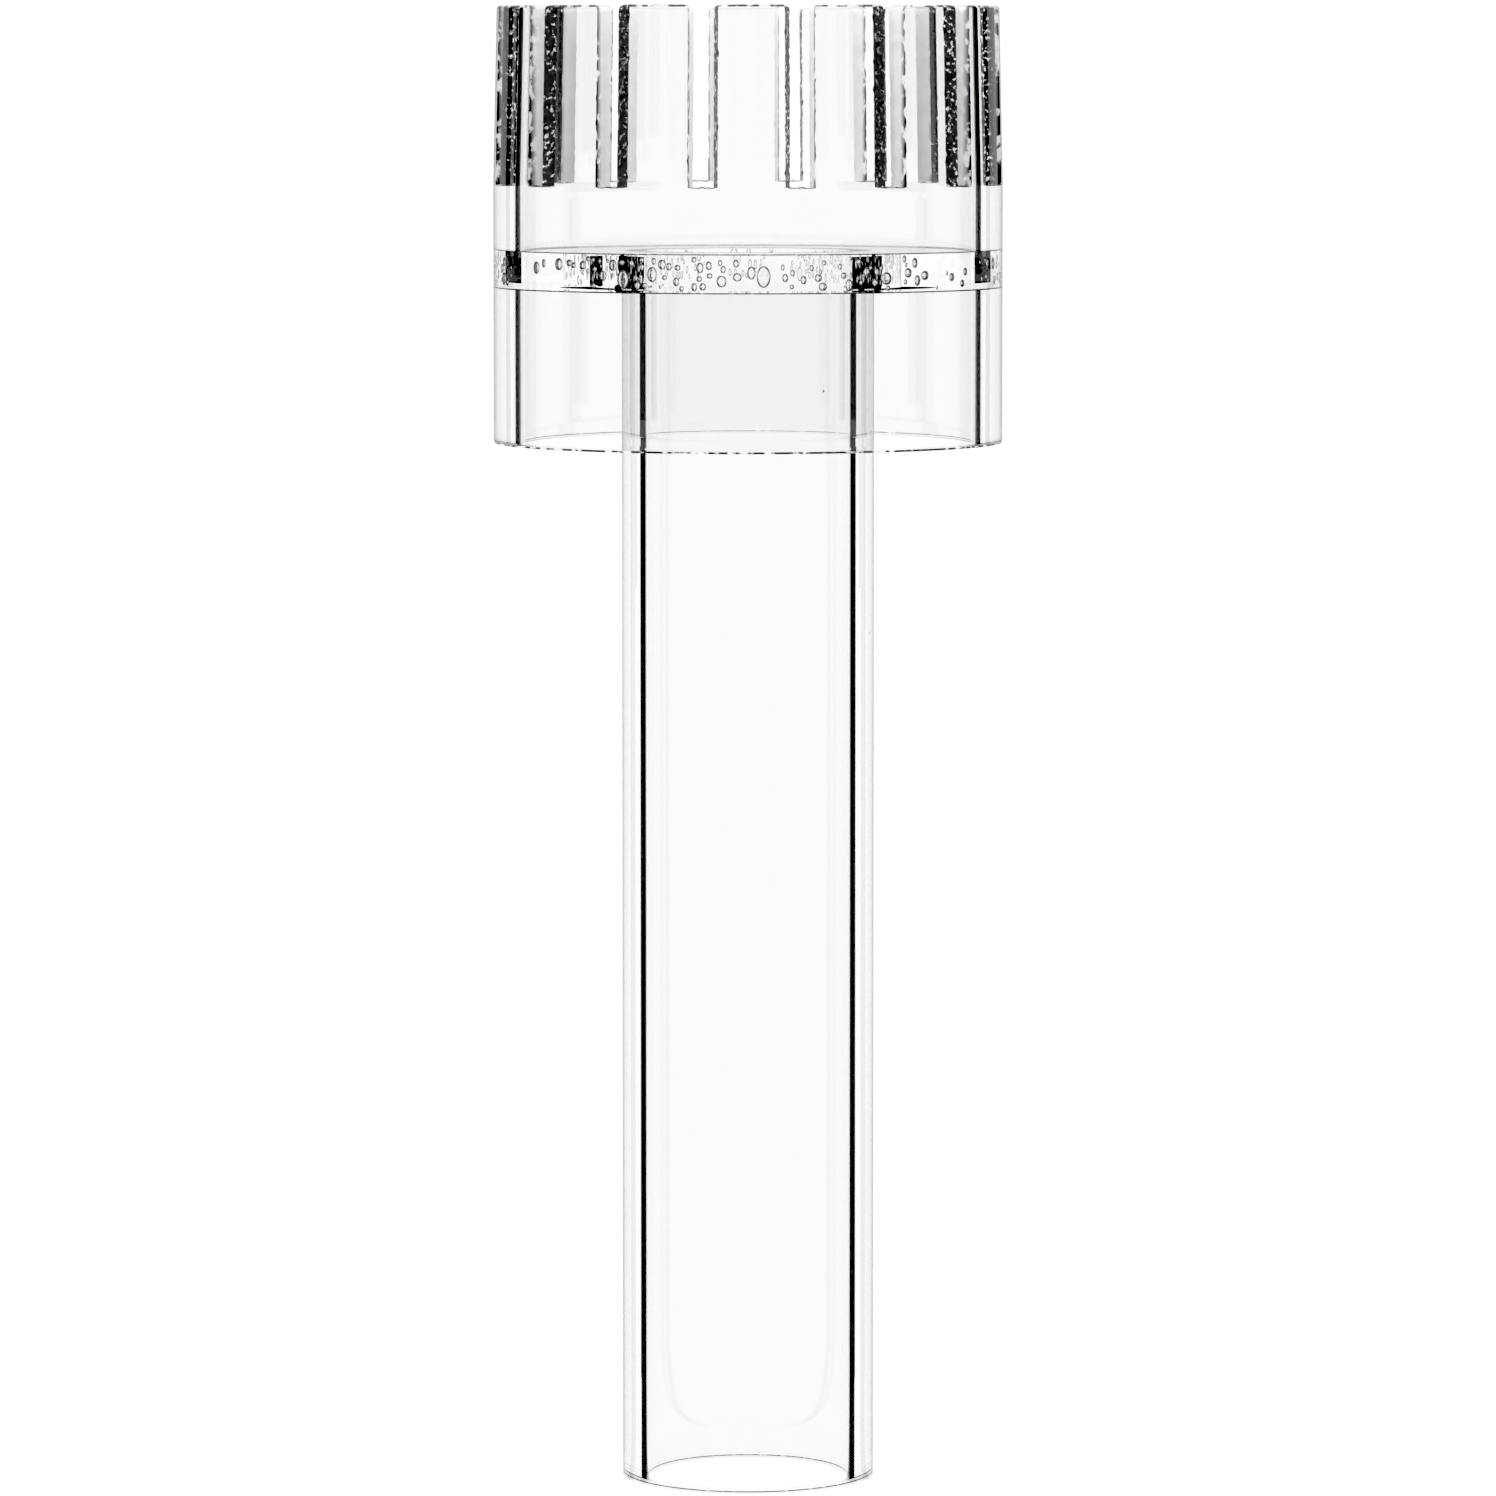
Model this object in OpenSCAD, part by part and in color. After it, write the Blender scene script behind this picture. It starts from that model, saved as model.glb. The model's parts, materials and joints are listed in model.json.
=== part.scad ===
// Slotted weir standpipe: an overflow strainer built up from clear acrylic stock.
//
// Water spills through the saw slots of the weir cup, lands on the divider disc
// and leaves down the drain tube. All pieces stand on one vertical axis, Z, with
// the origin at the centre of the drain tube's bottom rim. Sizes in millimetres.

/* [Overall] */
// Height from the drain tube's bottom rim to the weir's top rim
overall_h = 145.4; // [110:0.1:300]

/* [Weir tube] */
// Outside diameter of the wide tube
weir_od = 50; // [40:0.5:90]
// Wall of the wide tube
weir_wall = 2.6; // [1.5:0.1:4]
// Length of the wide tube
weir_h = 42.8; // [35:0.1:80]

/* [Saw slots] */
// Straight passes of the saw, each of which cuts two opposite slots
saw_passes = 8; // [3:1:12]
// Width of the saw's cut
slot_w = 2.5; // [1:0.1:4]
// Depth of the slots below the top rim
slot_depth = 17.4; // [5:0.1:22]

/* [Divider disc] */
// Thickness of the disc
disc_t = 3.6; // [2:0.1:6]
// Depth of the disc's top face below the top rim
disc_depth = 23.9; // [22.5:0.1:29]

/* [Drain tube] */
// Outside diameter of the narrow tube
drain_od = 24.8; // [16:0.1:30]
// Wall of the narrow tube
drain_wall = 2.3; // [1.5:0.1:4]
// Depth of the shoulder turned at its top end, which the disc rests on
seat_step = 0.3; // [0.1:0.1:0.8]

/* [Cement joints] */
// Gap between the disc's rim and the wide tube, filled with thick cement
rim_gap = 0.4; // [0.1:0.05:0.8]
// Gap between the disc's hole and the drain tube's turned end
seat_gap = 0.1; // [0.05:0.05:0.4]

/* [Hidden] */
$fn = 180;

// How far a cutting body runs past the face that it leaves
cut_past = 1;

// Heights on the axis, from the drain tube's bottom rim
disc_top_z = overall_h - disc_depth;
disc_bottom_z = disc_top_z - disc_t;
weir_bottom_z = overall_h - weir_h;
slot_floor_z = overall_h - slot_depth;

// Diameters that follow from the stock and the cement gaps
weir_id = weir_od - 2 * weir_wall;
drain_id = drain_od - 2 * drain_wall;
seat_od = drain_od - 2 * seat_step;
disc_od = weir_id - 2 * rim_gap;
disc_hole_d = seat_od + 2 * seat_gap;

// A plain length of tube, or a disc with a hole, from bottom_z to top_z
module ring(outer_d, inner_d, bottom_z, top_z) {
    translate([0, 0, bottom_z])
        difference() {
            cylinder(h = top_z - bottom_z, d = outer_d);
            translate([0, 0, -cut_past])
                cylinder(h = top_z - bottom_z + 2 * cut_past, d = inner_d);
        }
}

// One straight pass of the saw across the whole tube, open at the top rim
module saw_pass() {
    pass_length = weir_od + 2 * cut_past;
    translate([-slot_w / 2, -pass_length / 2, slot_floor_z])
        cube([slot_w, pass_length, slot_depth + cut_past]);
}

// Wide tube: slotted weir above the divider, plain skirt below it
module weir_tube() {
    color([0.93, 0.95, 0.96, 0.35])
        difference() {
            ring(weir_od, weir_id, weir_bottom_z, overall_h);
            for (pass = [0 : saw_passes - 1])
                rotate([0, 0, pass * 180 / saw_passes])
                    saw_pass();
        }
}

// Floor of the weir cup, with the hole that the drain tube passes up into
module divider_disc() {
    color([0.90, 0.92, 0.94, 0.45])
        ring(disc_od, disc_hole_d, disc_bottom_z, disc_top_z);
}

// Narrow tube, whose turned end passes up through the disc, flush with its top face
module drain_tube() {
    color([0.95, 0.96, 0.97, 0.35])
        difference() {
            union() {
                cylinder(h = disc_bottom_z, d = drain_od);
                cylinder(h = disc_top_z, d = seat_od);
            }
            translate([0, 0, -cut_past])
                cylinder(h = disc_top_z + 2 * cut_past, d = drain_id);
        }
}

// Cement between the disc's rim and the wide tube's bore
module rim_cement() {
    color([0.80, 0.82, 0.84, 0.55])
        ring(weir_id, disc_od, disc_bottom_z, disc_top_z);
}

// Cement between the disc's hole and the drain tube's turned end
module drain_cement() {
    color([0.80, 0.82, 0.84, 0.55])
        ring(disc_hole_d, seat_od, disc_bottom_z, disc_top_z);
}

weir_tube();
divider_disc();
drain_tube();
rim_cement();
drain_cement();
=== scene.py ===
"""A slotted weir standpipe in clear acrylic, in a white bright-field studio.

Three pieces of acrylic stock and two cement joints are built as closed meshes in metres,
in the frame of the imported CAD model. Faces where two pieces are bonded carry a see-through
material, so that light passes a joint as it passes a solvent-cemented one.

Clear acrylic in a white room shows mostly by what it mirrors. Black cards stand round the
object for it to mirror, and they show only in and through the acrylic.
"""
import json
import math
import random

import bpy
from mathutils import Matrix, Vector, noise


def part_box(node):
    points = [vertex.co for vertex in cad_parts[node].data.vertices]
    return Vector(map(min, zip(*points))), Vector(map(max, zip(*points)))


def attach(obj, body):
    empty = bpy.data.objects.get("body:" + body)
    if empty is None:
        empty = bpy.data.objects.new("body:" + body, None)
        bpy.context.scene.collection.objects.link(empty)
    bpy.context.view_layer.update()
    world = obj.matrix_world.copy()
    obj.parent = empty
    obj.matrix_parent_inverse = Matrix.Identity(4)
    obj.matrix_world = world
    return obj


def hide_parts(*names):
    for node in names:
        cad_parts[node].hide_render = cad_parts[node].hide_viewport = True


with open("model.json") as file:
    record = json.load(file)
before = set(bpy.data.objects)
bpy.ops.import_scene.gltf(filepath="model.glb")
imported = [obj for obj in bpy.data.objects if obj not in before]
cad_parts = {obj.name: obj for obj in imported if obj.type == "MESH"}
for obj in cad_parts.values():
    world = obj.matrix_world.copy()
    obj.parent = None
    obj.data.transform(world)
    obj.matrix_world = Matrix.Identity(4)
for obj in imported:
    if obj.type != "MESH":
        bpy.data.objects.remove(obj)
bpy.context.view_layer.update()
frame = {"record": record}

MM = 0.001

# ---------------------------------------------------------------- sizes, from the CAD frame
weir_low, weir_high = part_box("weir_tube")
disc_low, disc_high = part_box("divider_disc")
rim_low, rim_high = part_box("rim_cement")
hole_low, hole_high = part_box("drain_cement")
drain_low, drain_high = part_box("drain_tube")
mounts = {mount["name"]: mount for mount in frame["record"]["mounts"]}

WEIR_R = weir_high[0]
WEIR_BORE_R = rim_high[0]
WEIR_BOTTOM, WEIR_TOP = weir_low[2], weir_high[2]
DISC_R = disc_high[0]
DISC_HOLE_R = hole_high[0]
DISC_BOTTOM, DISC_TOP = disc_low[2], disc_high[2]
DRAIN_R = drain_high[0]
DRAIN_BORE_R = mounts["drain_bore"]["dims"]["r_mm"] * MM

# The frame gives boxes only, so these repeat part.scad.
SLOTS = 16
SLOT_HALF = 1.25 * MM
SLOT_FLOOR = WEIR_TOP - 17.4 * MM
SEAT_R = DRAIN_R - 0.3 * MM

# ---------------------------------------------------------------- finish of the real object
EDGE = 0.22 * MM  # how far the teeth's ends and edges are rounded over
FOOT_EDGE = 0.18 * MM  # the same on the weir tube's lower rim
TUBE_EDGE = 0.07 * MM  # the same on the drain tube, which was faced more finely
MOUTH = 0.6 * MM  # how far the teeth's corners are rounded over beside the slots
TOOTH_LEAN = 0.38 * MM  # the teeth spring inwards by this much at the rim
RIM_ROUGHNESS = 0.06 * MM  # height of the unevenness of the teeth's ends
BLADE_WANDER = 0.025 * MM  # how far the saw blade strayed, slowly
BLADE_RIPPLE = 0.014 * MM  # the same, finely
CHIP_DEPTH = 0.22 * MM  # depth of the chips along the edges of the sawn walls
GROOVE_DEPTH = 0.20 * MM  # two grooves along each slot's floor
GROOVE_LIFT = 0.05 * MM  # height of the floor's middle and sides
FLOOR_ROUGHNESS = 0.05 * MM
FILLET = 0.1 * MM  # cement that crept out of the rim joint, onto the wall and the disc
CREEP = 0.06 * MM  # unevenness of the fillets
DRY_FROM, DRY_TO = -106, -63.5  # degrees from the main azimuth: a gap in the drain tube's cement

# ---------------------------------------------------------------- bubbles in the rim joint
BUBBLES = 260
BARE_FROM, BARE_TO = 159, 170  # degrees from the main azimuth, to either side: no bubbles
SPARSE_FROM, SPARSE_TO = 44, 72  # the same: few bubbles
LARGER_WITHIN = 22  # the same: larger bubbles
COMMON_SIZE, LARGER_BY = 0.56, 0.34  # mm
SIZE_SPREAD = 0.4  # of the sizes' logarithm
WIDEST, TALLEST, THICKEST = 1.5 * MM, 2.4 * MM, 0.34 * MM
CLOSEST = 0.53  # how near two bubbles' middles come, as a share of their summed sizes

# ---------------------------------------------------------------- mesh density
SUPPORT = 0.05 * MM  # distance of a supporting edge from a rounding
SLOT_COLUMNS, TOOTH_COLUMNS, WALL_ROWS, TOOTH_LEVELS = 6, 20, 9, 80
COLUMNS = SLOT_COLUMNS + TOOTH_COLUMNS
DISC_SEGMENTS, DRAIN_SEGMENTS, RIM_SEGMENTS = 448, 320, 896
ARC_STEPS = 4  # sides of a quarter-round
SHARP_ANGLE = math.radians(35)  # edges sharper than this aren't shaded smooth
NEAR = 0.01 * MM  # points closer than this to a surface lie on it

# ---------------------------------------------------------------- acrylic
ACRYLIC_IOR = 1.49
CLEAR_TINT = (0.962, 0.964, 0.964, 1)
SAWN_TINT = (0.95, 0.952, 0.955, 1)

# ---------------------------------------------------------------- studio
MAIN_AZIMUTH = 10.4  # the main view's, in degrees
CAMERA_DISTANCE = 814 * MM
CAMERA_HEIGHT = 140.2 * MM
AIM_HEIGHT = 72.4 * MM
SENSOR = 36.0
LENS = 199.05
WHITE = 1.045  # the room and the floor, a little over display white
FILL = 1.4  # the same, as it lights matt surfaces
MIRRORED_WHITE = 0.8  # the same, as the acrylic mirrors it
DARK = 0.1  # the share of it that is left overhead, and after repeated mirroring
FLOOR_HALF = 4.0  # metres, to each side
NEAR_RING, FAR_RING = 70, 141  # mm from the axis to the cards; overlapping ones stand 1 mm apart
SKIRT_CARD_LOW = 99.4  # mm: the lowest height that the weir tube mirrors
DISC_CARD_LOW, DISC_CARD_HIGH = 114.3, 118  # mm: the heights that are mirrored within the disc
CARD_TOP = 200  # mm


def turn(azimuth, radius, z):
    """A point by its azimuth in degrees, counted as in the views: 0 is -Y, 90 is +X."""
    angle = math.radians(azimuth)
    return Vector((radius * math.sin(angle), -radius * math.cos(angle), z))


def add_object(name, data):
    """Puts an object made of the data into the scene, at the origin."""
    made = bpy.data.objects.new(name, data)
    bpy.context.scene.collection.objects.link(made)
    return made


# ---------------------------------------------------------------- node helpers
def new_material(name):
    """An empty material: itself, its node tree, and the socket that its surface goes into."""
    material = bpy.data.materials.new(name)
    material.use_nodes = True
    tree = material.node_tree
    tree.nodes.clear()
    out = tree.nodes.new("ShaderNodeOutputMaterial")
    return material, tree, out.inputs["Surface"]


def feed(tree, value, socket):
    """Links value into the socket if it is a node's output, and sets it there if not."""
    if isinstance(value, bpy.types.NodeSocket):
        tree.links.new(value, socket)
    else:
        socket.default_value = value


def math_of(tree, operation, first, second):
    """The result of an operation on two values."""
    result = tree.nodes.new("ShaderNodeMath")
    result.operation = operation
    feed(tree, first, result.inputs[0])
    feed(tree, second, result.inputs[1])
    return result.outputs[0]


def range_of(tree, value, given=(0.0, 1.0), wanted=(0.0, 1.0)):
    """The value, moved from the given range to the wanted one and kept inside it."""
    moved = tree.nodes.new("ShaderNodeMapRange")
    tree.links.new(value, moved.inputs["Value"])
    feed(tree, given[0], moved.inputs["From Min"])
    feed(tree, given[1], moved.inputs["From Max"])
    feed(tree, wanted[0], moved.inputs["To Min"])
    feed(tree, wanted[1], moved.inputs["To Max"])
    return moved.outputs[0]


def mix_of(tree, share, first, second):
    """The mix of two shaders: share is the part of the second."""
    mixed = tree.nodes.new("ShaderNodeMixShader")
    feed(tree, share, mixed.inputs["Fac"])
    tree.links.new(first.outputs[0], mixed.inputs[1])
    tree.links.new(second.outputs[0], mixed.inputs[2])
    return mixed


def noise_on(tree, scale, turned=(0, 0, 0)):
    """Noise on the piece, whose scale may differ along each axis."""
    place = tree.nodes.new("ShaderNodeTexCoord")
    lay = tree.nodes.new("ShaderNodeMapping")
    lay.inputs["Rotation"].default_value = turned
    lay.inputs["Scale"].default_value = scale
    tree.links.new(place.outputs["Object"], lay.inputs["Vector"])
    grain = tree.nodes.new("ShaderNodeTexNoise")
    grain.inputs["Scale"].default_value = 1.0
    grain.inputs["Detail"].default_value = 3.0
    tree.links.new(lay.outputs["Vector"], grain.inputs["Vector"])
    return grain.outputs["Fac"]


def bump_of(tree, relief, strength, depth):
    """The normal of a relief of that depth."""
    bump = tree.nodes.new("ShaderNodeBump")
    bump.inputs["Strength"].default_value = strength
    bump.inputs["Distance"].default_value = depth
    tree.links.new(relief, bump.inputs["Height"])
    return bump.outputs["Normal"]


# ---------------------------------------------------------------- materials
def principled_shader(tree, colour, roughness):
    """A Principled surface, of one colour or of colours from a node."""
    shader = tree.nodes.new("ShaderNodeBsdfPrincipled")
    feed(tree, colour, shader.inputs["Base Color"])
    shader.inputs["Roughness"].default_value = roughness
    return shader


def acrylic_shader(tree, tint, roughness=0.0):
    """A surface that light enters and leaves, bent as by acrylic."""
    shader = principled_shader(tree, tint, roughness)
    shader.inputs["IOR"].default_value = ACRYLIC_IOR
    shader.inputs["Transmission Weight"].default_value = 1.0
    return shader


def cast_acrylic():
    """The sheet that the disc is cut from, and the cement, which dries just as clear."""
    material, tree, surface = new_material("cast_acrylic")
    shader = acrylic_shader(tree, CLEAR_TINT)
    waves = noise_on(tree, (150, 150, 150))
    tree.links.new(bump_of(tree, waves, 0.4, 0.003 * MM), shader.inputs["Normal"])
    tree.links.new(shader.outputs[0], surface)
    return material


def dust_specks(tree):
    """1 on a few specks of dust up to a quarter of a millimetre across, 0 elsewhere."""
    place = tree.nodes.new("ShaderNodeTexCoord")
    cells = tree.nodes.new("ShaderNodeTexVoronoi")
    cells.inputs["Scale"].default_value = 75
    tree.links.new(place.outputs["Object"], cells.inputs["Vector"])
    return math_of(tree, "LESS_THAN", cells.outputs["Distance"], 0.009)


def tube_acrylic():
    """Drawn tube: faint lines along it, dust, and a painted dark outline where it is seen at a
    grazing angle.
    """
    material, tree, surface = new_material("tube_acrylic")
    shader = acrylic_shader(tree, CLEAR_TINT)
    drawn_lines = noise_on(tree, (900, 900, 12))
    tree.links.new(bump_of(tree, drawn_lines, 0.5, 0.0004 * MM), shader.inputs["Normal"])
    # A dark grey surface: real dust on the specks, and painted shade outlining the tube at grazing
    # angles.
    dust_and_outline_shade = principled_shader(tree, (0.16, 0.16, 0.165, 1), 0.6)
    grazing = tree.nodes.new("ShaderNodeLayerWeight")
    # Painted shade: darker the more grazing the view, which draws an outline round the tube.
    outline = range_of(tree, grazing.outputs["Facing"], (0.82, 0.96), (0.0, 0.42))
    share = math_of(tree, "MAXIMUM", outline, dust_specks(tree))
    tree.links.new(mix_of(tree, share, shader, dust_and_outline_shade).outputs[0], surface)
    return material


def chipped_edge_painted_shade(tree):
    """1 on chips of the slots' walls near the weir tube's outer surface, which are painted black as
    shade, 0 elsewhere.
    """
    place = tree.nodes.new("ShaderNodeTexCoord")
    level = tree.nodes.new("ShaderNodeVectorMath")
    level.operation = "MULTIPLY"
    level.inputs[1].default_value = (1, 1, 0)
    tree.links.new(place.outputs["Object"], level.inputs[0])
    radius = tree.nodes.new("ShaderNodeVectorMath")
    radius.operation = "LENGTH"
    tree.links.new(level.outputs[0], radius.inputs[0])
    edge = range_of(tree, radius.outputs["Value"], (WEIR_R - 1.1 * MM, WEIR_R - 0.3 * MM))
    chips = range_of(tree, noise_on(tree, (1100, 1100, 800)), (0.42, 0.5))
    return math_of(tree, "MULTIPLY", edge, chips)


def sawn_acrylic():
    """Saw-cut acrylic: ground and pale from outside, painted black shade with clear streaks from
    inside.

    The tiny facets scatter light that falls on the cut from the air. From within the wall the cut is
    painted near black as shade, all but a few clear streaks.
    """
    material, tree, surface = new_material("sawn_acrylic")
    glass = acrylic_shader(tree, SAWN_TINT, 0.1)
    facets = noise_on(tree, (3000, 3000, 6000), turned=(0.6, 0.5, 0))
    tree.links.new(bump_of(tree, facets, 0.5, 0.03 * MM), glass.inputs["Normal"])
    pale = tree.nodes.new("ShaderNodeMix")
    pale.data_type = "RGBA"
    pale.inputs["A"].default_value = (0.86, 0.865, 0.87, 1)
    pale.inputs["B"].default_value = (0.97, 0.972, 0.975, 1)
    mottle = range_of(tree, noise_on(tree, (500, 500, 900), turned=(0.7, 0.6, 0)), (0.3, 0.7))
    tree.links.new(mottle, pale.inputs["Factor"])
    ground = principled_shader(tree, pale.outputs["Result"], 0.55)
    # Near black: painted shade, on the cut seen from within the wall and on the chips near its outer
    # edge.
    painted_black_shade = principled_shader(tree, (0.012, 0.012, 0.013, 1), 0.35)
    clear = tree.nodes.new("ShaderNodeBsdfTransparent")
    streaks = range_of(tree, noise_on(tree, (1400, 1400, 2600), turned=(0.7, 0.6, 0)), (0.36, 0.44))
    # Painted shade: seen from within the wall, the cut is near black but for the clear streaks.
    from_inside = mix_of(tree, streaks, glass, painted_black_shade)
    # Seen from the air, the chips near the outer edge are painted black as shade.
    from_outside = mix_of(tree, chipped_edge_painted_shade(tree), mix_of(tree, 0.78, clear, ground), painted_black_shade)
    side = tree.nodes.new("ShaderNodeNewGeometry")
    seen = mix_of(tree, side.outputs["Backfacing"], from_outside, from_inside)
    tree.links.new(seen.outputs[0], surface)
    return material


def bonded_face():
    """A face inside a cement joint, which light crosses unbent."""
    material, tree, surface = new_material("bonded_face")
    clear = tree.nodes.new("ShaderNodeBsdfTransparent")
    tree.links.new(clear.outputs[0], surface)
    return material


MATERIALS = [cast_acrylic(), sawn_acrylic(), bonded_face(), tube_acrylic()]
CLEAR_I, SAWN_I, BONDED_I, TUBE_I = range(4)


# ---------------------------------------------------------------- mesh helpers
def finish_piece(name, points, faces, kinds, node_name):
    """Makes a smooth-shaded piece of the points and faces, which stands for a CAD node."""
    mesh = bpy.data.meshes.new(name)
    mesh.from_pydata(points, [], faces)
    for material in MATERIALS:
        mesh.materials.append(material)
    mesh.polygons.foreach_set("material_index", kinds)
    mesh.polygons.foreach_set("use_smooth", [True] * len(faces))
    mesh.set_sharp_from_angle(angle=SHARP_ANGLE)
    mesh.update()
    piece = add_object(name, mesh)
    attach(piece, "root")
    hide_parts(node_name)


def add_void(points, faces, kinds, void_points, void_faces):
    """Adds a closed void to a piece: its faces are clear, and look into it."""
    first = len(points)
    points += void_points
    faces += [tuple(first + vertex for vertex in face) for face in void_faces]
    kinds += [CLEAR_I] * len(void_faces)


def corner(r, z, r_dir, z_dir, size):
    """Points of a quarter-round on a corner at (r, z).

    r_dir and z_dir point away from the corner, along its two sides: the arc starts on the
    side along r_dir and ends on the side along z_dir.
    """
    found = []
    for i in range(ARC_STEPS + 1):
        angle = math.pi / 2 * i / ARC_STEPS
        found.append((
            r + r_dir * size * (1 - math.sin(angle)),
            z + z_dir * size * (1 - math.cos(angle)),
        ))
    return found


def of_kind(points, kind, last_kind):
    """Profile points that carry a material: last_kind is for the side after the last one."""
    return [(r, z, kind) for r, z in points[:-1]] + [(*points[-1], last_kind)]


def with_supports(profile):
    """Adds a point just inside each end of a long side, so that roundings shade only themselves."""
    found = []
    for i, (r, z, kind) in enumerate(profile):
        next_r, next_z, _ = profile[(i + 1) % len(profile)]
        length = math.hypot(next_r - r, next_z - z)
        found.append((r, z, kind))
        if length > 1 * MM:
            for share in (SUPPORT / length, 1 - SUPPORT / length):
                found.append((r + (next_r - r) * share, z + (next_z - z) * share, kind))
    return found


def reversed_profile(profile):
    """The same closed outline the other way round, each side keeping its material."""
    count = len(profile)
    return [
        (profile[-i % count][0], profile[-i % count][1], profile[(-i - 1) % count][2])
        for i in range(count)
    ]


def lathe(profile, segments, wobble=None):
    """Turns a closed profile of (r, z, material of the face to the next point) round Z.

    The profile runs clockwise as seen with r to the right and z up, so that the faces
    look outwards. wobble(azimuth, index) gives how far a point's radius changes.
    """
    points, faces, kinds = [], [], []
    count = len(profile)
    for segment in range(segments):
        azimuth = 360 * segment / segments
        for i, (r, z, _) in enumerate(profile):
            change = wobble(azimuth, i) if wobble else 0
            points.append(turn(azimuth, r + change, z))
    for segment in range(segments):
        here, there = segment * count, (segment + 1) % segments * count
        for i, (_, _, kind) in enumerate(profile):
            following = (i + 1) % count
            faces.append((here + i, here + following, there + following, there + i))
            kinds.append(kind)
    return points, faces, kinds


# ---------------------------------------------------------------- weir tube
def weir_levels():
    """(z, how far the edge is rounded there) from the bottom rim to the top rim."""
    arc = [math.pi / 2 * i / 3 for i in range(4)]
    rounding = [(1 - math.sin(angle), 1 - math.cos(angle)) for angle in arc]
    levels = [(WEIR_BOTTOM + FOOT_EDGE * up, FOOT_EDGE * inset) for inset, up in rounding]
    levels += [(WEIR_BOTTOM + FOOT_EDGE + SUPPORT, 0)]
    levels += [(rim_low[2] - FILLET, 0), (rim_high[2] + FILLET, 0)]
    levels += [(SLOT_FLOOR - SUPPORT, 0), (SLOT_FLOOR, 0)]
    straight = WEIR_TOP - EDGE - SLOT_FLOOR
    levels += [(SLOT_FLOOR + straight * (i + 1) / TOOTH_LEVELS, 0) for i in range(TOOTH_LEVELS)]
    levels += [(WEIR_TOP - EDGE * down, EDGE * inset) for inset, down in reversed(rounding[:-1])]
    return levels


def mouth(z):
    """How far a slot opens at its mouth, where the corners of the teeth are rounded over."""
    into = max(0, 1 - (WEIR_TOP - z) / MOUTH)
    return MOUTH * (1 - math.sqrt(1 - min(into, 0.9) ** 2))


def saw_wander(wall, z, rho):
    """How far a sawn wall stands off its plane: wander of the blade, and chips at the edges."""
    up = min(1, max(0, (z - SLOT_FLOOR) / (0.8 * MM)))
    slow = noise.noise(Vector((wall * 7.3, z / (2.2 * MM), rho / (1.3 * MM)))) * BLADE_WANDER
    fine = noise.noise(Vector((wall * 3.1, z / (0.35 * MM), rho / (0.5 * MM)))) * BLADE_RIPPLE
    from_edge = min(abs(rho - WEIR_R), abs(rho - WEIR_BORE_R)) / (0.3 * MM)
    chipped = max(0, noise.noise(Vector((wall * 5.7, z / (0.6 * MM), rho / MM))) - 0.15)
    return up * (slow + fine + max(0, 1 - from_edge) * chipped * CHIP_DEPTH)


def slot_floor_lift(sector, column, row):
    """How far the slot's floor stands off its level: two grooves, and roughness."""
    across = abs(2 * column / SLOT_COLUMNS - 1)
    groove = GROOVE_LIFT - GROOVE_DEPTH * math.sin(math.pi * across)
    rough = noise.noise(Vector((sector * 4.1 + column * 0.6, row * 0.5, 0.3)))
    return groove + rough * FLOOR_ROUGHNESS


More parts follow.
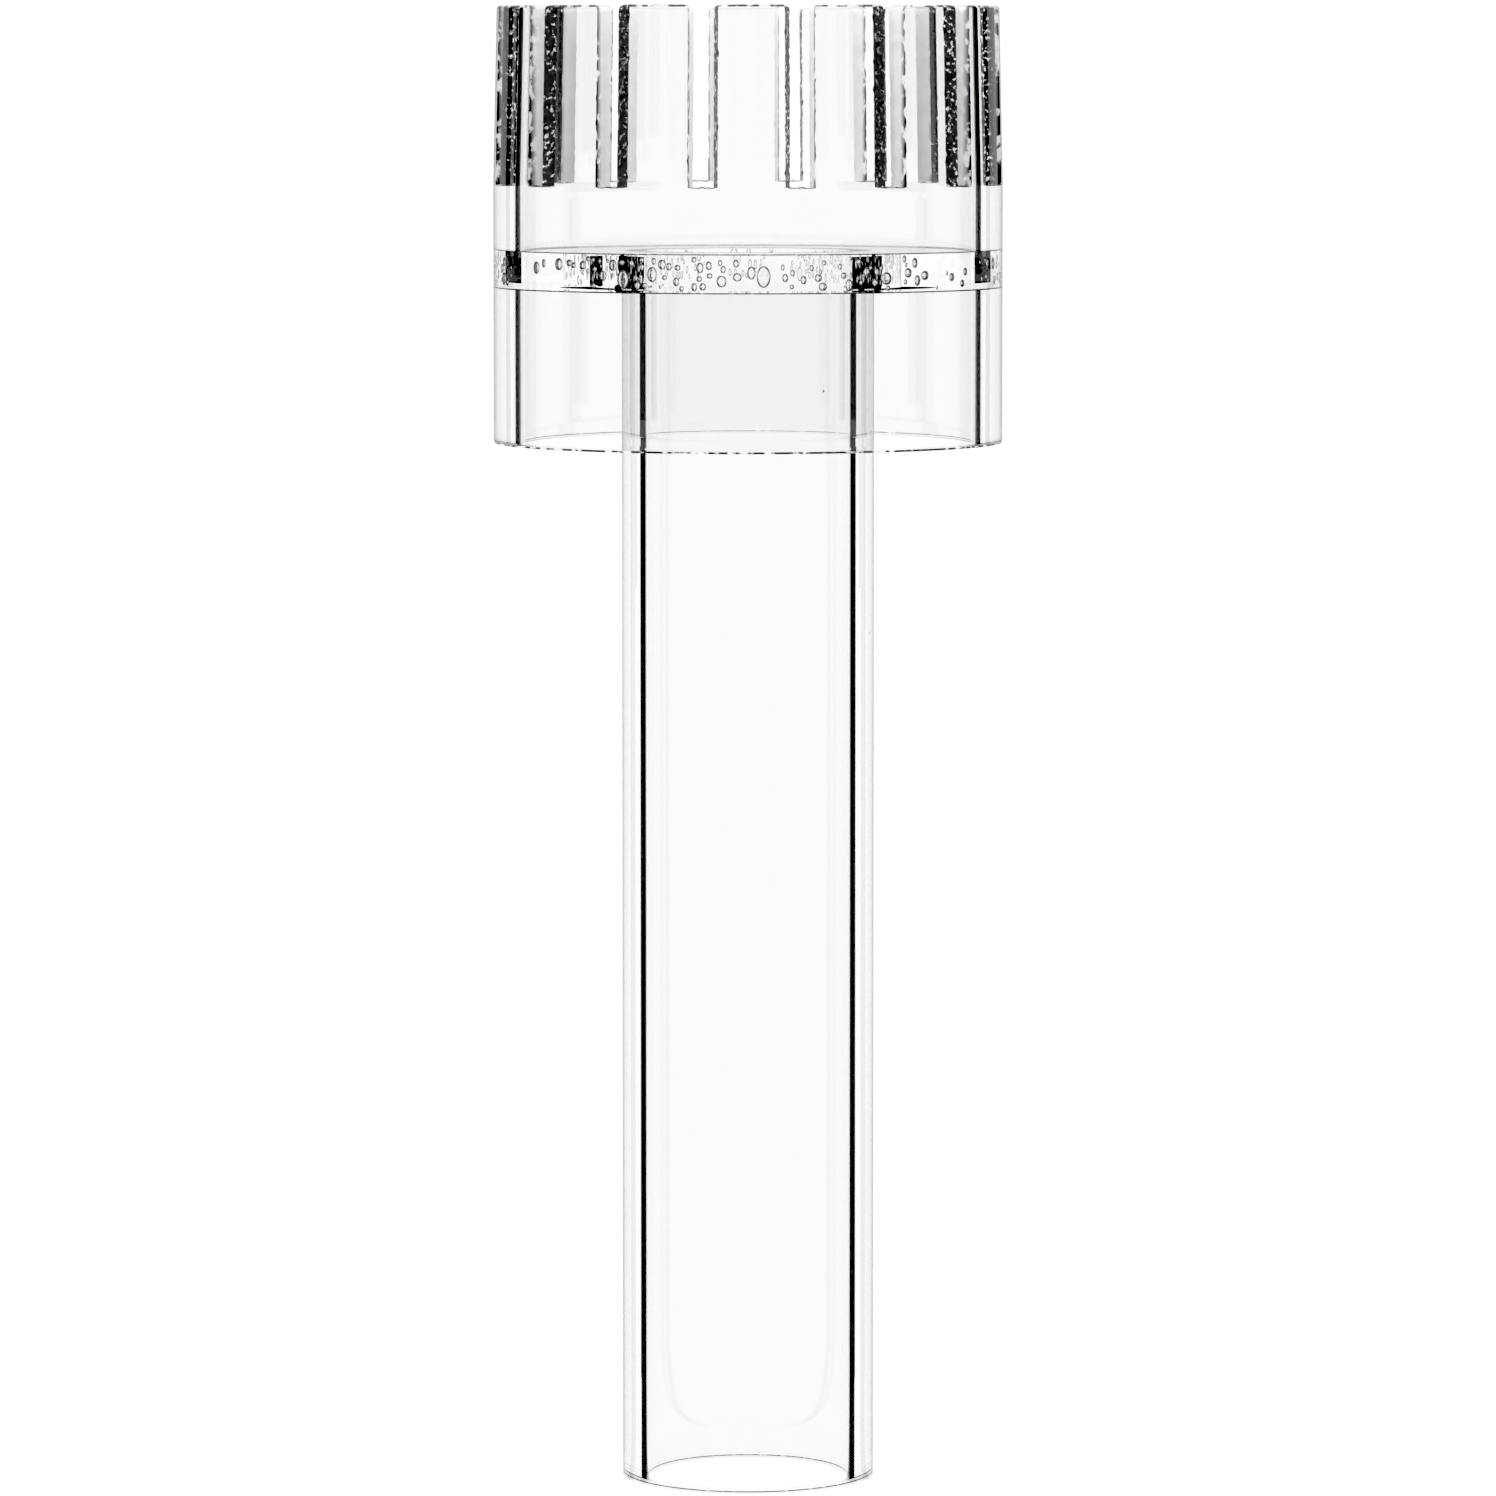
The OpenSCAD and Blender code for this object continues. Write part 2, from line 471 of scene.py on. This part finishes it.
def build_weir_tube():
    """The weir tube, as sectors of one slot and one tooth each.

    A vertex has a sector, a column round it, a row from the bore outwards, and a level.
    The columns up to SLOT_COLUMNS are the slot's, and hold no material above its floor.
    """
    levels = weir_levels()
    heights = [z for z, _ in levels]
    floor_level = heights.index(SLOT_FLOOR)
    bonded_level = heights.index(rim_low[2] - FILLET)
    top_level = len(levels) - 1
    rounded = [i for i, (_, inset) in enumerate(levels[:-1]) if inset or levels[i + 1][1]]
    pitch = 360 / SLOTS
    along, across, upwards = (1, 0, 0), (0, 1, 0), (0, 0, 1)  # steps in (column, row, level)
    index, points, faces, kinds = {}, [], [], []

    def place(sector, column, row, level):
        """Where a vertex is."""
        z, inset = levels[level]
        low, high = WEIR_BORE_R + inset, WEIR_R - inset
        rho = low + (high - low) * row / WALL_ROWS
        lean = 0
        before = after = SLOT_HALF + mouth(z)
        if level > floor_level:
            lean = TOOTH_LEAN * (z - SLOT_FLOOR) / (WEIR_TOP - SLOT_FLOOR)
            before += inset + saw_wander(sector * 2 + 1, z, rho)
            after += inset + saw_wander((sector * 2 + 2) % (2 * SLOTS), z, rho)
        start = math.degrees(math.asin(before / rho))
        end = pitch - math.degrees(math.asin(after / rho))
        if column <= SLOT_COLUMNS:
            azimuth = start * (2 * column / SLOT_COLUMNS - 1)
        else:
            azimuth = start + (end - start) * (column - SLOT_COLUMNS) / TOOTH_COLUMNS
        if level == floor_level and 0 < column < SLOT_COLUMNS:
            z += slot_floor_lift(sector, column, row)
        azimuth += sector * pitch
        if level > top_level - 3:
            z += (noise.noise(turn(azimuth, rho, 0) / (0.5 * MM)) - 0.5) * RIM_ROUGHNESS
        return turn(azimuth, rho - lean, z)

    def vertex(sector, column, row, level):
        """The number of a vertex, which two sectors share where they meet."""
        if column == COLUMNS and level <= floor_level:
            sector, column = sector + 1, 0
        sector %= SLOTS
        key = (sector, column, row, level)
        if column == 0 and level > floor_level:
            key = ((sector - 1) % SLOTS, COLUMNS, row, level)
        if key not in index:
            index[key] = len(points)
            points.append(place(*key))
        return index[key]

    def quad(sector, start, first, second, kind):
        """The face that two steps span from a vertex, turning from the first to the second."""
        corners = []
        for i, j in ((0, 0), (1, 0), (1, 1), (0, 1)):
            where = [s + i * a + j * b for s, a, b in zip(start, first, second)]
            corners.append(vertex(sector, *where))
        faces.append(tuple(corners))
        kinds.append(kind)

    for sector in range(SLOTS):
        for column in range(COLUMNS):
            last_level = top_level if column >= SLOT_COLUMNS else floor_level
            for level in range(last_level):
                outside = SAWN_I if level in rounded else TUBE_I
                inside = outside if level > floor_level else TUBE_I
                if level == bonded_level:
                    inside = BONDED_I
                quad(sector, (column, WALL_ROWS, level), along, upwards, outside)
                quad(sector, (column, 0, level), upwards, along, inside)
            for row in range(WALL_ROWS):
                quad(sector, (column, row, last_level), across, along, SAWN_I)
                quad(sector, (column, row, 0), along, across, SAWN_I)
        for level in range(floor_level, top_level):
            for row in range(WALL_ROWS):
                quad(sector, (SLOT_COLUMNS, row, level), across, upwards, SAWN_I)
                quad(sector, (COLUMNS, row, level), upwards, across, SAWN_I)
    finish_piece("weir_tube_clear", points, faces, kinds, "weir_tube")


# ---------------------------------------------------------------- disc and drain tube
def build_divider_disc():
    """The disc, bonded at its rim and in its hole, and where it sits on the drain tube's shoulder."""
    profile = [
        (DISC_HOLE_R, DISC_BOTTOM, BONDED_I),
        (DISC_HOLE_R, DISC_TOP, CLEAR_I),
        (DISC_R - FILLET, DISC_TOP, BONDED_I),
        (DISC_R, DISC_TOP, BONDED_I),
        (DISC_R, DISC_BOTTOM, BONDED_I),
        (DISC_R - FILLET, DISC_BOTTOM, CLEAR_I),
        (DRAIN_R, DISC_BOTTOM, BONDED_I),
    ]
    points, faces, kinds = lathe(with_supports(profile), DISC_SEGMENTS)
    finish_piece("divider_disc_clear", points, faces, kinds, "divider_disc")


def build_drain_tube():
    """The drain tube, turned down above a shoulder to seat in the disc."""
    foot, top, shoulder = drain_low[2], drain_high[2], DISC_BOTTOM
    profile = of_kind(corner(DRAIN_BORE_R, foot, 1, 1, TUBE_EDGE), SAWN_I, TUBE_I)
    profile += of_kind(corner(DRAIN_BORE_R, top, 1, -1, TUBE_EDGE)[::-1], TUBE_I, TUBE_I)
    profile += [(SEAT_R, top, BONDED_I), (SEAT_R, shoulder, BONDED_I), (DRAIN_R, shoulder, TUBE_I)]
    profile += of_kind(corner(DRAIN_R, foot, -1, 1, TUBE_EDGE)[::-1], SAWN_I, TUBE_I)
    points, faces, kinds = lathe(with_supports(profile), DRAIN_SEGMENTS)
    finish_piece("drain_tube_clear", points, faces, kinds, "drain_tube")


# ---------------------------------------------------------------- cement joints
def pancake(azimuth, z, width, height, thick, radius):
    """A closed void, flat against the joint: a rounded pancake whose faces look into it."""
    around, across = 22, 6
    points, faces = [], []
    for i in range(around):
        direction = 2 * math.pi * i / around
        for j in range(across + 1):
            tilt = math.pi * j / across
            out = thick / 2 * math.cos(tilt)
            reach_w = (width / 2 - thick / 2) + thick / 2 * math.sin(tilt)
            reach_h = (height / 2 - thick / 2) + thick / 2 * math.sin(tilt)
            side = math.degrees(reach_w * math.cos(direction) / radius)
            points.append(turn(azimuth + side, radius + out, z + reach_h * math.sin(direction)))
    outer_middle, inner_middle = len(points), len(points) + 1
    points.append(turn(azimuth, radius + thick / 2, z))
    points.append(turn(azimuth, radius - thick / 2, z))
    row = across + 1
    for i in range(around):
        here, there = i * row, (i + 1) % around * row
        for j in range(across):
            faces.append((here + j, there + j, there + j + 1, here + j + 1))
        faces.append((outer_middle, there, here))
        faces.append((inner_middle, here + across, there + across))
    return points, faces


def crowding(azimuth, from_main):
    """How likely a bubble is to have formed at this azimuth."""
    if SPARSE_FROM < from_main < SPARSE_TO:
        return 0.10
    return 0.65 + 0.5 * noise.noise(Vector((azimuth / 25, 0.4, 0)))


def apart(bubble, other):
    """The distance between two bubbles' middles, as a share of their summed sizes."""
    azimuth, z, width, height, _ = bubble
    other_azimuth, other_z, other_width, other_height, _ = other
    turned = abs((azimuth - other_azimuth + 180) % 360 - 180)
    sideways = math.radians(turned) * WEIR_BORE_R / (width + other_width)
    return math.hypot(sideways, (z - other_z) / (height + other_height))


def rim_bubbles():
    """(azimuth, z, width, height, thickness) of the bubbles in the rim joint."""
    chance = random.Random(7)
    found = []
    middle = (DISC_TOP + DISC_BOTTOM) / 2
    while len(found) < BUBBLES:
        azimuth = chance.uniform(0, 360)
        from_main = abs((azimuth - MAIN_AZIMUTH + 180) % 360 - 180)
        if BARE_FROM < from_main < BARE_TO:
            continue
        if chance.random() > crowding(azimuth, from_main):
            continue
        common = COMMON_SIZE + LARGER_BY * max(0, 1 - from_main / LARGER_WITHIN)
        width = min(chance.lognormvariate(math.log(common), SIZE_SPREAD) * MM, WIDEST)
        height = min(width * chance.uniform(1.0, 1.7), TALLEST)
        room = (DISC_TOP - DISC_BOTTOM) / 2 - height / 2 - 0.1 * MM
        z = middle + chance.uniform(-room, room)
        bubble = (azimuth, z, width, height, min(THICKEST, width * 0.6))
        if all(apart(bubble, other) >= CLOSEST for other in found):
            found.append(bubble)
    return found


def build_rim_cement():
    """The cement ring, its fillets on the wall and the disc, and the bubbles inside it."""
    top, bottom = rim_high[2], rim_low[2]
    inner = DISC_R - FILLET
    arc = []
    for i in range(1, ARC_STEPS):
        angle = math.pi / 2 * i / ARC_STEPS
        r = WEIR_BORE_R - (WEIR_BORE_R - inner) * (1 - math.cos(angle))
        arc.append((r, FILLET * (1 - math.sin(angle))))
    profile = [(WEIR_BORE_R, bottom - FILLET, BONDED_I), (WEIR_BORE_R, top + FILLET, SAWN_I)]
    profile += [(r, top + proud, SAWN_I) for r, proud in arc]
    profile += [(inner, top, BONDED_I), (DISC_R, top, BONDED_I)]
    profile += [(DISC_R, bottom, BONDED_I), (inner, bottom, SAWN_I)]
    profile += [(r, bottom - proud, SAWN_I) for r, proud in reversed(arc)]
    outline = with_supports(reversed_profile(profile))

    def creep(azimuth, index):
        """How far a fillet's free face stands out or in, as the cement crept unevenly."""
        r, z, _ = outline[index]
        in_joint = r >= DISC_R - NEAR and bottom - NEAR < z < top + NEAR
        if in_joint or abs(r - WEIR_BORE_R) < NEAR:
            return 0
        short = noise.noise(Vector((azimuth / 2.6, 1 if z > top else 5, 0)))
        long = noise.noise(Vector((azimuth / 9, 2 if z > top else 8, 0)))
        return -max((short + long) * CREEP, -0.04 * MM)

    points, faces, kinds = lathe(outline, RIM_SEGMENTS, creep)
    for azimuth, z, width, height, thick in rim_bubbles():
        void = pancake(azimuth, z, width, height, thick, (WEIR_BORE_R + DISC_R) / 2)
        add_void(points, faces, kinds, *void)
    finish_piece("rim_cement_clear", points, faces, kinds, "rim_cement")


def dry_patch(azimuth_from, azimuth_to, low, high, inner, outer):
    """A thin closed gap that the cement left, with an uneven outline; its faces look into it."""
    columns = 44
    points, faces = [], []
    for i in range(columns + 1):
        azimuth = azimuth_from + (azimuth_to - azimuth_from) * i / columns
        foot = low + 0.3 * MM * (1 + noise.noise(Vector((azimuth / 3, 8.2, 0))))
        head = high - 0.3 * MM * (1 + noise.noise(Vector((azimuth / 4, 0.7, 0))))
        for radius, z in ((inner, foot), (inner, head), (outer, head), (outer, foot)):
            points.append(turn(azimuth, radius, z))
    for i in range(columns):
        here, there = 4 * i, 4 * i + 4
        for j in range(4):
            following = (j + 1) % 4
            faces.append((here + j, there + j, there + following, here + following))
    last = 4 * columns  # a section has four corners, and each end is closed
    faces.append((3, 2, 1, 0))
    faces.append((last, last + 1, last + 2, last + 3))
    return points, faces


def build_drain_cement():
    """The cement between the disc's hole and the drain tube, with one dry patch."""
    top, bottom = hole_high[2], hole_low[2]
    profile = [
        (SEAT_R, bottom, BONDED_I),
        (SEAT_R, top, CLEAR_I),
        (DISC_HOLE_R, top, BONDED_I),
        (DISC_HOLE_R, bottom, BONDED_I),
    ]
    points, faces, kinds = lathe(with_supports(profile), DRAIN_SEGMENTS)
    gap = 0.02 * MM
    void = dry_patch(MAIN_AZIMUTH + DRY_FROM, MAIN_AZIMUTH + DRY_TO, bottom + gap, top - gap,
                     SEAT_R + gap, DISC_HOLE_R - gap)
    add_void(points, faces, kinds, *void)
    finish_piece("drain_cement_clear", points, faces, kinds, "drain_cement")


# ---------------------------------------------------------------- studio
def room_strength(tree):
    """How bright the room is: dimmer in reflections, and there dark overhead as well."""
    path = tree.nodes.new("ShaderNodeLightPath")
    mirrors = path.outputs["Glossy Depth"]
    place = tree.nodes.new("ShaderNodeTexCoord")
    parts = tree.nodes.new("ShaderNodeSeparateXYZ")
    tree.links.new(place.outputs["Generated"], parts.inputs[0])
    mirrored = range_of(tree, path.outputs["Is Reflection Ray"], wanted=(WHITE, MIRRORED_WHITE))
    overhead = range_of(tree, mirrors, wanted=(1.0, DARK))
    height = range_of(tree, parts.outputs["Z"], (0.55, 0.75), (1.0, overhead))
    deep = math_of(tree, "GREATER_THAN", path.outputs["Transmission Depth"], 2.5)
    repeated = range_of(tree, math_of(tree, "MULTIPLY", mirrors, deep), (1.8, 3.0), (1.0, DARK))
    dimmed = math_of(tree, "MULTIPLY", mirrored, repeated)
    strength = math_of(tree, "MULTIPLY", dimmed, height)
    for ray, straight in (("Is Diffuse Ray", FILL), ("Is Camera Ray", WHITE)):
        strength = range_of(tree, path.outputs[ray], wanted=(strength, straight))
    return strength


def build_floor():
    """A wide floor, as bright as the room."""
    mesh = bpy.data.meshes.new("floor")
    signs = ((-1, -1), (1, -1), (1, 1), (-1, 1))
    mesh.from_pydata([(x * FLOOR_HALF, y * FLOOR_HALF, 0) for x, y in signs], [], [(0, 1, 2, 3)])
    material, tree, surface = new_material("white_sweep")
    light = tree.nodes.new("ShaderNodeEmission")
    tree.links.new(room_strength(tree), light.inputs["Strength"])
    tree.links.new(light.outputs[0], surface)
    mesh.materials.append(material)
    floor = add_object("floor", mesh)


def hang_card(name, points, faces, mirrors=1, passes=0, most=None):
    """A black card, hidden from the camera.

    Only light that was mirrored at least so many times, and that passed at least so many
    surfaces of the acrylic, meets it. With most, only light that passed no more than that does.
    """
    mesh = bpy.data.meshes.new(name)
    mesh.from_pydata(points, [], faces)
    material, tree, surface = new_material(name)
    path = tree.nodes.new("ShaderNodeLightPath")
    mirrored = math_of(tree, "GREATER_THAN", path.outputs["Glossy Depth"], mirrors - 0.5)
    if most is None:
        passed = math_of(tree, "GREATER_THAN", path.outputs["Transmission Depth"], passes - 0.5)
    else:
        passed = math_of(tree, "LESS_THAN", path.outputs["Transmission Depth"], most + 0.5)
    clear = tree.nodes.new("ShaderNodeBsdfTransparent")
    dark = tree.nodes.new("ShaderNodeEmission")
    dark.inputs["Color"].default_value = (0, 0, 0, 1)
    met = math_of(tree, "MULTIPLY", mirrored, passed)
    tree.links.new(mix_of(tree, met, clear, dark).outputs[0], surface)
    mesh.materials.append(material)
    card = add_object(name, mesh)
    card.visible_camera = False
    card.visible_diffuse = False
    card.visible_shadow = False


def build_cards(side, name):
    """The cards on one side: side is 1 for the image's left and -1 for its right.

    Each stands where the rays that one region mirrors go. The near ring darkens the lines
    along the tubes, and the far ring the outer surfaces, the slots' walls and the joints.
    """
    behind = MAIN_AZIMUTH + 180

    def card(part, near, far, ring, low, high, **met):
        """A curved card round the axis, in mm, between two angles from straight behind."""
        steps = 12
        points, faces = [], []
        for i in range(steps + 1):
            azimuth = behind + side * (near + (far - near) * i / steps)
            points.append(turn(azimuth, ring * MM, low * MM))
            points.append(turn(azimuth, ring * MM, high * MM))
        for i in range(steps):
            faces.append((2 * i, 2 * i + 2, 2 * i + 3, 2 * i + 1))
        hang_card(part + "_" + name, points, faces, **met)

    def foot_card(part, near, far, ring, offset, **met):
        """A card's foot on the floor, between two directions that pass the axis by the offset."""
        points = []
        inner_end = 4
        ends = ((near, inner_end), (near, ring), (far, ring), (far, inner_end))
        for azimuth, distance in ends:
            outwards = turn(behind + side * azimuth, distance * MM, 0)
            points.append(outwards + turn(behind + side * (azimuth + 90), offset * MM, 0.1 * MM))
        hang_card(part + "_" + name, points, [(0, 1, 2, 3)], **met)

    card("drain_line", 52.3, 62.2, NEAR_RING, 0, SKIRT_CARD_LOW)
    foot_card("drain_line_foot", 44.4, 53.6, NEAR_RING - 1, 10.6)
    card("skirt_line", 54, 65, NEAR_RING - 1, SKIRT_CARD_LOW, 125, passes=4)
    card("cup_line", 57.7, 62.9, NEAR_RING, SKIRT_CARD_LOW, CARD_TOP)
    card("cup_face_card", 57, 62, FAR_RING, 80, CARD_TOP, most=0)
    card("disc_face_card", 48, 66, FAR_RING - 1, DISC_CARD_LOW, DISC_CARD_HIGH, most=0)
    card("skirt_face_card", 69.5, 78.5, FAR_RING - 1, SKIRT_CARD_LOW, DISC_CARD_HIGH, passes=4)
    card("drain_face_card", 68, 77, FAR_RING, 0, 130, most=0)
    foot_card("face_foot", 64, 73, FAR_RING, 10.3, most=0)
    card("slot_card", 62, 128, FAR_RING + 1, 124.5, CARD_TOP, passes=3)
    card("joint_card", 43, 83, FAR_RING + 1, DISC_CARD_LOW, DISC_CARD_HIGH, passes=2)
    card("joint_lift_card", 43, 83, FAR_RING + 1, DISC_CARD_HIGH, 122, mirrors=2, passes=2)
    card("disc_card", 42, 54, FAR_RING + 2, DISC_CARD_LOW, DISC_CARD_HIGH, mirrors=0, most=2)


def build_world():
    """The white room round everything."""
    world = bpy.data.worlds.new("white_studio")
    world.use_nodes = True
    tree = world.node_tree
    tree.nodes.clear()
    out = tree.nodes.new("ShaderNodeOutputWorld")
    light = tree.nodes.new("ShaderNodeBackground")
    light.inputs["Color"].default_value = (1, 1, 1, 1)
    tree.links.new(room_strength(tree), light.inputs["Strength"])
    tree.links.new(light.outputs[0], out.inputs["Surface"])
    bpy.context.scene.world = world


def build_camera():
    """A long lens a little above the object's middle, looking slightly down at it."""
    data = bpy.data.cameras.new("main_camera")
    data.lens = LENS
    data.sensor_width = SENSOR
    data.clip_end = 20
    camera = add_object("main_camera", data)
    camera.location = turn(MAIN_AZIMUTH, CAMERA_DISTANCE, CAMERA_HEIGHT)
    look = Vector((0, 0, AIM_HEIGHT)) - camera.location
    camera.rotation_euler = look.to_track_quat("-Z", "Y").to_euler()
    bpy.context.scene.camera = camera


build_weir_tube()
build_divider_disc()
build_drain_tube()
build_rim_cement()
build_drain_cement()
build_floor()
build_cards(1, "left")
build_cards(-1, "right")
build_world()
build_camera()

# A bright-field picture's contrast, and light paths long enough for many walls.
scene = bpy.context.scene
scene.view_settings.view_transform = "Standard"
scene.view_settings.use_curve_mapping = True
scene.view_settings.curve_mapping.black_level = (0.07, 0.07, 0.07)
scene.cycles.max_bounces = 16
scene.cycles.transmission_bounces = 14
scene.cycles.glossy_bounces = 4
scene.cycles.transparent_max_bounces = 64
